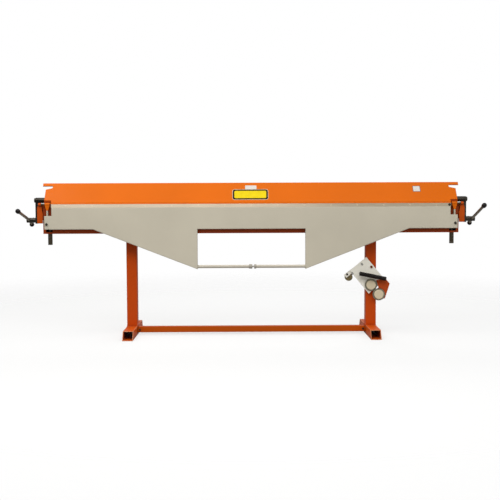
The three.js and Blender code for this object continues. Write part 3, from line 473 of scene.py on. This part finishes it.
slope_plate("name_plate_rim", PLATE_X, PLATE_ALONG, PLATE_WIDTH + 2 * PLATE_EDGE,
            PLATE_HEIGHT + 2 * PLATE_EDGE, PLATE_THICK, PLATE_RADIUS + PLATE_EDGE, pale_line)
slope_plate("name_plate_border", PLATE_X, PLATE_ALONG, PLATE_WIDTH, PLATE_HEIGHT,
            FACE_LIFT, PLATE_RADIUS, dark_border, PLATE_THICK)
slope_plate("name_plate_face", PLATE_X, PLATE_ALONG, PLATE_WIDTH - 2 * PLATE_BORDER,
            PLATE_HEIGHT - 2 * PLATE_BORDER, FACE_LIFT, PLATE_RADIUS - PLATE_BORDER / 2, yellow_face,
            PLATE_THICK + FACE_LIFT)

LABEL_PLACE = (-0.0025, 0.1375)
LABEL_SIZE = (0.077, 0.033, 0.0004)
LABEL_RADIUS = 0.002
STICKER_PLACE = (1.1285, 0.121)
STICKER_SIZE = (0.052, 0.050, 0.0003)
STICKER_RADIUS = 0.003
STICKER_FACE_SIZE = (0.045, 0.043, 0.0002)
slope_plate("upper_label", *LABEL_PLACE, *LABEL_SIZE, LABEL_RADIUS, white_face)
slope_plate("side_sticker_border", *STICKER_PLACE, *STICKER_SIZE, STICKER_RADIUS, grey_border)
slope_plate("side_sticker_face", *STICKER_PLACE, *STICKER_FACE_SIZE, LABEL_RADIUS, white_face,
            STICKER_SIZE[2])

# Levers: knobs and balls turned smooth, with a ferrule

LEVER_X = 1.503
CLAMP_Y = -0.0191547
SHAFT_Z = 0.791
LEVER_LENGTH = 0.315
LEVER_RISE = {"left": math.radians(12.1), "right": math.radians(17.2)}
TAIL_LENGTH = 0.066
TAIL_FALL = math.radians(27)
KNOB_PROFILE = [
    (0, -0.024), (0.0110, -0.024), (0.0122, -0.0232), (0.0126, -0.0215), (0.0144, -0.0165),
    (0.0155, -0.0095), (0.0159, -0.0010), (0.0157, 0.0044), (0.0143, 0.0094), (0.0115, 0.0126),
    (0.0075, 0.0145), (0.0034, 0.0152), (0, 0.0153),
]
FERRULE_PROFILE = [
    (0, -0.0285), (0.0100, -0.0285), (0.0108, -0.0278), (0.0108, -0.0245), (0.0102, -0.0238),
    (0, -0.0238),
]
BALL_RADIUS = 0.016
BALL_CENTRE = 0.0006
BALL_STEPS = 18


def ball_profile(radius, centre, steps=BALL_STEPS):
    points = []
    for step in range(steps + 1):
        angle = math.pi * (step / steps - 0.5)
        reach = max(0.0, radius * math.cos(angle)) if 0 < step < steps else 0
        points.append((reach, centre + radius * math.sin(angle)))
    return points


def lever_piece(side, kind, profile, place, aim, node=None):
    bm = bmesh.new()
    turned(bm, profile, place, aim)
    slot = "black_steel" if kind == "ferrule" else "black_plastic"
    obj = add_piece(f"{side}_{kind}", f"{side}_lever", slot, bm)
    if node:
        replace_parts(obj, node)


for side, sign in SIDES:
    pivot = Vector((sign * LEVER_X, CLAMP_Y, SHAFT_Z))
    arm_aim = Vector((0, -math.cos(LEVER_RISE[side]), math.sin(LEVER_RISE[side])))
    tail_aim = Vector((0, math.cos(TAIL_FALL), -math.sin(TAIL_FALL)))
    tip = pivot + arm_aim * LEVER_LENGTH
    tail = pivot + tail_aim * TAIL_LENGTH
    lever_piece(side, "knob", KNOB_PROFILE, tip, arm_aim, f"{side}_lever_knob")
    lever_piece(side, "ferrule", FERRULE_PROFILE, tip, arm_aim)
    lever_piece(side, "ball", ball_profile(BALL_RADIUS, BALL_CENTRE), tail, tail_aim,
                f"{side}_lever_ball")

# Shear: cutters, caps, roller and grip

SHEAR_TURN = math.radians(50.6)
SHEAR_PLACE = Vector((0.82, 0.0408453, 0.463))
PLATE_FRONT = -0.056
ARM_FRONT = -0.064
FRONT_AIM = (0, -1, 0)


def shear_point(u, y, w):
    """A point in the shear's own frame: u down along its plate, w across."""
    spot = Vector((u * math.cos(SHEAR_TURN) + w * math.sin(SHEAR_TURN), y,
                   -u * math.sin(SHEAR_TURN) + w * math.cos(SHEAR_TURN)))
    return SHEAR_PLACE + spot


CUTTER_W = -0.0805
CUTTER_U = 0.093
CUTTER_SPACING = 0.083
CUTTER_RADIUS = 0.042
CUTTER_THICK = 0.0074
CAP_RADIUS = 0.032
CAP_THICK = 0.006
BORE_RADIUS = 0.0083
BORE_DEPTH = 0.010
AXLE_PLAY = 0.0003
CUTTER_EDGE = 0.0012
CUTTER_STEP = 0.0006
CUTTER_SIDES = 96
cap_look = painted("cutter_cap_coat", (0.72, 0.62, 0.43), gloss=0.5, wear=0.1, corner_shade=0.25)


def cutter(kind, u, back):
    """Hardened disc with a ground edge, and the pale cap that closes its bore."""
    place = shear_point(u, back - AXLE_PLAY, CUTTER_W)
    edge, low = CUTTER_EDGE, CUTTER_THICK - CUTTER_STEP
    disc = bmesh.new()
    turned(disc, [
        (BORE_RADIUS, 0), (CUTTER_RADIUS - edge / 2, 0), (CUTTER_RADIUS, edge / 2),
        (CUTTER_RADIUS, CUTTER_THICK - edge), (CUTTER_RADIUS - edge, CUTTER_THICK),
        (CUTTER_RADIUS - 0.005, CUTTER_THICK), (CUTTER_RADIUS - 0.0058, low), (BORE_RADIUS, low),
    ], place, FRONT_AIM, CUTTER_SIDES, closed=True)
    body = f"shear_{kind}_cutter"
    obj = add_piece(f"{kind}_cutter_disc", body, "cutter_steel", disc)
    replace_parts(obj, f"{kind}_cutter")
    cap = bmesh.new()
    turned(cap, [
        (0, BORE_DEPTH), (BORE_RADIUS, BORE_DEPTH), (BORE_RADIUS, low), (CAP_RADIUS, low),
        (CAP_RADIUS, low + CAP_THICK - 0.0018), (CAP_RADIUS - 0.0005, low + CAP_THICK - 0.0007),
        (CAP_RADIUS - 0.0018, low + CAP_THICK), (CAP_RADIUS - 0.006, low + CAP_THICK + 0.0003),
        (0.014, low + CAP_THICK + 0.0005), (0, low + CAP_THICK + 0.0005),
    ], place, FRONT_AIM, CUTTER_SIDES)
    add_piece(f"{kind}_cutter_cap", body, "ivory_paint", cap, cap_look)


cutter("upper", CUTTER_U, PLATE_FRONT)
cutter("lower", CUTTER_U + CUTTER_SPACING, ARM_FRONT)

# Guide roller with a groove
ROLLER_SIDES = 72
ROLLER_U = -0.043
ROLLER_W = -0.163
ROLLER_RADIUS = 0.0265
ROLLER_WIDTH = 0.020
ROLLER_BACK = -0.0235
ROLLER_BORE = 0.0165
roller = bmesh.new()
turned(roller, [
    (0, ROLLER_BORE), (BORE_RADIUS, ROLLER_BORE), (BORE_RADIUS, 0), (0.0255, 0), (ROLLER_RADIUS, 0.001),
    (ROLLER_RADIUS, 0.0035), (0.0258, 0.0045), (0.0228, 0.0075), (0.0225, 0.0085), (0.0225, 0.0115),
    (0.0228, 0.0125), (0.0258, 0.0155), (ROLLER_RADIUS, 0.0165), (ROLLER_RADIUS, 0.019),
    (0.0255, ROLLER_WIDTH), (0.018, ROLLER_WIDTH), (0.0172, 0.0194), (0, 0.0194),
], shear_point(ROLLER_U, ROLLER_BACK, ROLLER_W), FRONT_AIM, ROLLER_SIDES)
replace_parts(add_piece("guide_roller_body", "shear_roller", "roller_plastic", roller), "guide_roller")

# Grip of the shear, fluted, on two steel legs
GRIP_U = -0.022
GRIP_W = -0.093
GRIP_TURN = math.radians(38.9)
GRIP_LENGTH = 0.185
GRIP_STANDOFF = 0.036
GRIP_RADIUS = 0.0138
GRIP_FLUTES = 14
GRIP_FLUTE_DEPTH = 0.0007
GRIP_SIDES = GRIP_FLUTES * 8
GRIP_END = 0.010
GRIP_RUN_OUT = 0.006
GRIP_SWELL = 0.0006
GRIP_STEPS = 24
LEG_RADIUS = 0.006
LEG_SHARE = 0.06


def grip_point(share, lift):
    along = GRIP_LENGTH * share
    return shear_point(GRIP_U + along * math.cos(GRIP_TURN), PLATE_FRONT - lift,
                       GRIP_W + along * math.sin(GRIP_TURN))


def flute(angle, along):
    """Flutes that run out before the ends of the grip."""
    run = min(along, GRIP_LENGTH - along)
    depth = GRIP_FLUTE_DEPTH * min(1.0, max(0.0, (run - GRIP_END) / GRIP_RUN_OUT))
    return -depth * (1 - math.cos(GRIP_FLUTES * angle)) / 2


def grip_profile():
    """Half profile with a collar at each end and a slight swell in the middle."""
    collar = [(0, 0.0), (0.0105, 0.0), (0.0128, 0.0008), (0.0142, 0.003), (0.0142, 0.006),
              (0.0136, 0.0085)]
    body = []
    for step in range(GRIP_STEPS + 1):
        share = step / GRIP_STEPS
        body.append((GRIP_RADIUS + GRIP_SWELL * math.sin(math.pi * share),
                     GRIP_END + (GRIP_LENGTH - 2 * GRIP_END) * share))
    mirrored = [(radius, GRIP_LENGTH - along) for radius, along in reversed(collar)]
    return collar + body + mirrored


grip = bmesh.new()
aim = grip_point(1, GRIP_STANDOFF) - grip_point(0, GRIP_STANDOFF)
turned(grip, grip_profile(), grip_point(0, GRIP_STANDOFF), aim.normalized(), GRIP_SIDES, flute)
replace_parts(add_piece("shear_grip", "shear", "black_plastic", grip), "shear_handle")
legs = bmesh.new()
for share in (LEG_SHARE, 1 - LEG_SHARE):
    turned(legs, [
        (0, 0), (0.0095, 0), (0.010, 0.0006), (0.010, 0.0028), (0.0094, 0.0034), (LEG_RADIUS, 0.0036),
        (LEG_RADIUS, GRIP_STANDOFF), (0, GRIP_STANDOFF),
    ], grip_point(share, 0), FRONT_AIM)
add_piece("shear_grip_legs", "shear", "black_steel", legs)


# Screws and bolts

SCREW_SIDES = 24
WASHER_SIDES = 32
SCREW_RIM_SHARE = 0.12
SOCKET_SHARE = 0.5
SOCKET_TAPER_SHARE = 0.96
SOCKET_FLOOR_SHARE = 0.4
BOLT_WASHER_THICK = 0.0018
BOLT_WASHER_SHARE = 1.02
BOLT_CHAMFER_SHARE = 0.86


def socket_screw(bm, place, aim, radius, height):
    """Round head with a round socket, set on a face."""
    rim = radius * SCREW_RIM_SHARE
    socket = radius * SOCKET_SHARE
    sink = height * SOCKET_FLOOR_SHARE
    turned(bm, [(0, 0), (radius, 0), (radius, height - rim), (radius - rim, height), (socket, height)],
           place, aim, SCREW_SIDES)
    turned(bm, [(socket, height), (socket * SOCKET_TAPER_SHARE, sink), (0, sink)],
           place, aim, SCREW_SIDES)


def hex_bolt(bm, place, aim, across, height):
    """Hexagon head with its chamfer, on a washer."""
    base = BOLT_WASHER_THICK
    washer = across * BOLT_WASHER_SHARE
    turned(bm, [(0, 0), (washer, 0), (washer, base), (0, base)], place, aim, WASHER_SIDES)
    point = across / math.sqrt(3)
    turned(bm, [
        (0, base), (point, base), (point, base + height * BOLT_CHAMFER_SHARE),
        (point * BOLT_CHAMFER_SHARE, base + height), (0, base + height),
    ], place, aim, HEX_SIDES)


def screws(name, body, slot, places, aim, radius, height):
    bm = bmesh.new()
    for place in places:
        socket_screw(bm, place, aim, radius, height)
    return add_piece(name, body, slot, bm)


BLADE_PITCH = 0.178
BLADE_MARGIN = 0.05
BLADE_SCREW_RADIUS = 0.0055
BLADE_SCREW_HEIGHT = 0.0006
END_BOLT_INSET = 0.0085
END_BOLT_LIFT = 0.001
END_BOLT_ACROSS = 0.0085
END_BOLT_HEIGHT = 0.005
RAIL_SCREW_RADIUS = 0.0045
RAIL_SCREW_HEIGHT = 0.0004
blade_low, blade_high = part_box("bending_blade")
blade_z = (blade_low.z + blade_high.z) / 2
steps = round((blade_high.x - BLADE_MARGIN) / BLADE_PITCH)
blade_places = [(step * BLADE_PITCH, blade_low.y, blade_z) for step in range(-steps, steps + 1)]
screws("blade_screws", "bending_beam", "blade_steel", blade_places, FRONT_AIM, BLADE_SCREW_RADIUS,
       BLADE_SCREW_HEIGHT)

end_bolt = bmesh.new()
hex_bolt(end_bolt, (blade_high.x - END_BOLT_INSET, blade_low.y, blade_z + END_BOLT_LIFT), FRONT_AIM,
         END_BOLT_ACROSS, END_BOLT_HEIGHT)
add_piece("blade_end_bolt", "bending_beam", "black_steel", end_bolt)

rail_low, rail_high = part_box("table_rail")
rail_z = (rail_low.z + rail_high.z) / 2
rail_places = [(x + BLADE_PITCH / 2, rail_low.y, rail_z) for x, _, _ in blade_places[:-1]]
screws("rail_screws", "root", "black_steel", rail_places, FRONT_AIM, RAIL_SCREW_RADIUS,
       RAIL_SCREW_HEIGHT)

POST_X = 0.82
POST_Y = 0.0408453
POST_HALF = 0.035
PLATE_BOTTOM = 0.689
FOOT_TOP = 0.060
POST_BOLT_X = 0.0575
POST_BOLT_Y = 0.046
POST_BOLT_ACROSS = 0.016
POST_BOLT_HEIGHT = 0.0075
for side, sign in SIDES:
    bolts = bmesh.new()
    for across in (-1, 1):
        for deep in (-1, 1):
            place = (sign * POST_X + across * POST_BOLT_X, POST_Y + deep * POST_BOLT_Y, PLATE_BOTTOM)
            hex_bolt(bolts, place, (0, 0, -1), POST_BOLT_ACROSS, POST_BOLT_HEIGHT)
    add_piece(f"{side}_post_bolts", "root", "black_steel", bolts)

# Set screws in the hubs of the levers
HUB_SCREW_X = 1.478
HUB_SCREW_LIFT = 0.0163
HUB_SCREW_RADIUS = 0.004
HUB_SCREW_HEIGHT = 0.0016
for side, sign in SIDES:
    place = Vector((sign * HUB_SCREW_X, CLAMP_Y, SHAFT_Z + HUB_SCREW_LIFT))
    screws(f"{side}_hub_screw", f"{side}_lever", "black_steel", [place], (0, 0, 1), HUB_SCREW_RADIUS,
           HUB_SCREW_HEIGHT)

# Long washers with domed screws on the shear's plate, and the bolt of its roller fork

def domed_screw(bm, place, radius, height):
    turned(bm, [
        (0, 0), (radius, 0), (radius, height * 0.55), (radius * 0.86, height * 0.9),
        (radius * 0.6, height), (0, height),
    ], place, FRONT_AIM, WASHER_SIDES)


WASHER_LONG = 0.021
WASHER_WIDE = 0.0125
WASHER_THICK = 0.0012
MARKS = ((-0.056, -0.038), (-0.049, -0.127))
MARK_SCREW_RADIUS = 0.0048
MARK_SCREW_HEIGHT = 0.0016
LUG_U = -0.0655
LUG_W = -0.160
LUG_FRONT = -0.050
LUG_BOLT_ACROSS = 0.007
LUG_BOLT_HEIGHT = 0.004
mark_steel = metal("washer_steel", (0.50, 0.49, 0.45), (0.38, 0.37, 0.33), rough=0.5, metallic=0.2)
marks = bmesh.new()
for mark_u, mark_w in MARKS:
    rounded_plate(marks, WASHER_LONG, WASHER_WIDE, WASHER_THICK, WASHER_WIDE / 2,
                  lambda a, b, up, u=mark_u, w=mark_w: shear_point(u + a, PLATE_FRONT - up, w + b))
    domed_screw(marks, shear_point(mark_u, PLATE_FRONT - WASHER_THICK, mark_w), MARK_SCREW_RADIUS,
                MARK_SCREW_HEIGHT)
add_piece("shear_plate_screws", "shear", "bare_steel", marks, mark_steel)
lug_bolt = bmesh.new()
hex_bolt(lug_bolt, shear_point(LUG_U, LUG_FRONT, LUG_W), FRONT_AIM, LUG_BOLT_ACROSS, LUG_BOLT_HEIGHT)
add_piece("roller_fork_bolt", "shear", "black_steel", lug_bolt)


# Weld beads

BEAD_RIPPLE = 0.0035
BEAD_SIDES = 8
BEAD_WAVE_SHARE = 0.12


def bead(bm, path, radius):
    """Adds a rippled bead along a closed path of points."""
    points = []
    for start, end in zip(path, path[1:] + path[:1]):
        length = (end - start).length
        count = max(2, round(length / (BEAD_RIPPLE / 3)))
        points += [start.lerp(end, step / count) for step in range(count)]
    middle = sum(path, Vector()) / len(path)
    rings = []
    walked = 0.0
    for index, point in enumerate(points):
        ahead = points[(index + 1) % len(points)] - points[index - 1]
        walked += (point - points[index - 1]).length if index else 0.0
        ahead.normalize()
        out = (point - middle).normalized()
        out = (out - ahead * out.dot(ahead)).normalized()
        up = ahead.cross(out)
        size = radius * (1 + BEAD_WAVE_SHARE * math.sin(2 * math.pi * walked / BEAD_RIPPLE))
        ring = []
        for s in range(BEAD_SIDES):
            angle = 2 * math.pi * s / BEAD_SIDES
            ring.append(bm.verts.new(point + size * (out * math.cos(angle) + up * math.sin(angle))))
        rings.append(ring)
    for index, ring in enumerate(rings):
        after = rings[(index + 1) % len(rings)]
        for s in range(BEAD_SIDES):
            n = (s + 1) % BEAD_SIDES
            bm.faces.new([ring[s], ring[n], after[n], after[s]])


def square_path(x, y, z, half):
    return [Vector((x + a * half, y + b * half, z)) for a, b in ((-1, -1), (1, -1), (1, 1), (-1, 1))]


BEAD_RADIUS = 0.0032
for side, sign in SIDES:
    weld = bmesh.new()
    bead(weld, square_path(sign * POST_X, POST_Y, FOOT_TOP, POST_HALF), BEAD_RADIUS)
    add_piece(f"{side}_foot_weld", "root", "stand_paint", weld)
    weld = bmesh.new()
    bead(weld, square_path(sign * POST_X, POST_Y, PLATE_BOTTOM, POST_HALF), BEAD_RADIUS)
    add_piece(f"{side}_plate_weld", "root", "stand_paint", weld)

TIE_BEAD_RADIUS = 0.0026
TIE_BEAD_SINK = 0.0008
TIE_BEAD_STEPS = 20
TIE_Z = 0.475
TIE_Y = (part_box("left_tie_bar")[0].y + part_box("left_tie_bar")[1].y) / 2
TIE_RADIUS = 0.0108
WINDOW_X = 0.364
THREAD_PITCH = 0.00175
THREAD_DEPTH = 0.0011
THREAD_RADIUS = 0.006
THREAD_LEAD = 0.0005
stud_low, stud_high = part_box("tie_stud")
ridges = round((stud_high.x - stud_low.x - 2 * THREAD_LEAD) / THREAD_PITCH)
thread_profile = [(0, 0), (THREAD_RADIUS - THREAD_DEPTH, 0)]
for ridge in range(ridges):
    start = THREAD_LEAD + ridge * THREAD_PITCH
    thread_profile += [(THREAD_RADIUS - THREAD_DEPTH, start),
                       (THREAD_RADIUS, start + THREAD_PITCH * 0.4),
                       (THREAD_RADIUS, start + THREAD_PITCH * 0.6)]
end = stud_high.x - stud_low.x
thread_profile += [(THREAD_RADIUS - THREAD_DEPTH, end), (0, end)]
thread = bmesh.new()
stud_y = (stud_low.y + stud_high.y) / 2
turned(thread, thread_profile, (stud_low.x, stud_y, TIE_Z), (1, 0, 0), WASHER_SIDES)
thread_look = metal("thread_steel", (0.86, 0.83, 0.76), (0.72, 0.69, 0.62), rough=0.4, metallic=0.3,
                    corner_shade_tone=0.8)
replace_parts(add_piece("tie_thread", "bending_beam", "bare_steel", thread, thread_look), "tie_stud")
for side, sign in SIDES:
    weld = bmesh.new()
    ring = []
    for step in range(TIE_BEAD_STEPS):
        angle = 2 * math.pi * step / TIE_BEAD_STEPS
        ring.append(Vector((sign * (WINDOW_X - TIE_BEAD_SINK), TIE_Y + TIE_RADIUS * math.cos(angle),
                            TIE_Z + TIE_RADIUS * math.sin(angle))))
    bead(weld, ring, TIE_BEAD_RADIUS)
    add_piece(f"{side}_tie_weld", "bending_beam", "grey_paint", weld)


# Floor, world, lights and camera

FLOOR_HALF = 9.0
FLOOR_COVER = 0.32
FLOOR_CLEAR = 2.2
FLOOR_FADE = 5.2
LIGHT_AIM = Vector((0, 0, 0.75))
DOME = (-0.35, 0.45, 0.08, 0.46)  # from height to height, and from strength to strength


def floor():
    mesh = bpy.data.meshes.new("floor")
    corners = [(x * FLOOR_HALF, y * FLOOR_HALF, 0) for x, y in ((-1, -1), (1, -1), (1, 1), (-1, 1))]
    mesh.from_pydata(corners, [], [(0, 1, 2, 3)])
    obj = bpy.data.objects.new("floor", mesh)
    bpy.context.scene.collection.objects.link(obj)
    look = Look("pale_floor", Base_Color=(0.86, 0.86, 0.85, 1), Roughness=0.75, Specular_IOR_Level=0.2)
    reach = look.add("ShaderNodeVectorMath", {0: look.place}, operation="LENGTH").outputs["Value"]
    look.feed("Alpha", look.span(reach, FLOOR_CLEAR, FLOOR_FADE, FLOOR_COVER, 0.0))
    mesh.materials.append(look.material)


def world():
    """White behind the object; what lights it from all round is soft above and dim below."""
    made = bpy.data.worlds.new("studio")
    made.use_nodes = True
    tree = made.node_tree
    back = tree.nodes["Background"]
    back.inputs["Color"].default_value = (1, 1, 1, 1)
    path = tree.nodes.new("ShaderNodeLightPath")
    aim = tree.nodes.new("ShaderNodeTexCoord")
    height = tree.nodes.new("ShaderNodeSeparateXYZ")
    dome = tree.nodes.new("ShaderNodeMapRange")
    dome.interpolation_type = "SMOOTHSTEP"
    for socket, value in zip(("From Min", "From Max", "To Min", "To Max"), DOME):
        dome.inputs[socket].default_value = value
    strength = tree.nodes.new("ShaderNodeMix")
    strength.inputs["B"].default_value = 1.0
    tree.links.new(aim.outputs["Generated"], height.inputs[0])
    tree.links.new(height.outputs[2], dome.inputs["Value"])
    tree.links.new(path.outputs["Is Camera Ray"], strength.inputs["Factor"])
    tree.links.new(dome.outputs[0], strength.inputs["A"])
    tree.links.new(strength.outputs["Result"], back.inputs["Strength"])
    bpy.context.scene.world = made


def soft_light(name, place, size, power, colour=(1, 1, 1), aim=LIGHT_AIM):
    data = bpy.data.lights.new(name, "AREA")
    data.shape = "RECTANGLE"
    data.size, data.size_y = size
    data.energy = power
    data.color = colour
    obj = bpy.data.objects.new(name, data)
    obj.location = place
    obj.rotation_euler = (aim - Vector(place)).to_track_quat("-Z", "Y").to_euler()
    bpy.context.scene.collection.objects.link(obj)


def camera():
    yaw, pitch, roll = CAMERA_YAW, CAMERA_PITCH, CAMERA_ROLL
    ahead = Vector((math.sin(yaw) * math.cos(pitch), math.cos(yaw) * math.cos(pitch), math.sin(pitch)))
    level = Vector((math.cos(yaw), -math.sin(yaw), 0))
    upright = level.cross(ahead)
    right = math.cos(roll) * level + math.sin(roll) * upright
    up = -math.sin(roll) * level + math.cos(roll) * upright
    data = bpy.data.cameras.new("camera")
    data.lens = CAMERA_LENS
    data.sensor_width = CAMERA_SENSOR
    obj = bpy.data.objects.new("camera", data)
    obj.matrix_world = Matrix.Translation(CAMERA_PLACE) @ Matrix((right, up, -ahead)).transposed().to_4x4()
    bpy.context.scene.collection.objects.link(obj)
    bpy.context.scene.camera = obj


floor()
world()
soft_light("overhead", (0, -0.9, 4.4), (4.0, 2.5), 28)
soft_light("key", (-0.7, -3.6, 4.2), (4.5, 2.2), 123)
soft_light("left_sheen", (-2.3, -0.9, 3.4), (1.3, 1.3), 30, (1.0, 0.97, 0.93))
soft_light("right_fill", (3.6, -3.0, 2.4), (1.8, 1.8), 26)
soft_light("rear", (0.6, 3.6, 3.6), (3.5, 1.5), 65)
camera()
bpy.context.scene.view_settings.view_transform = "Standard"
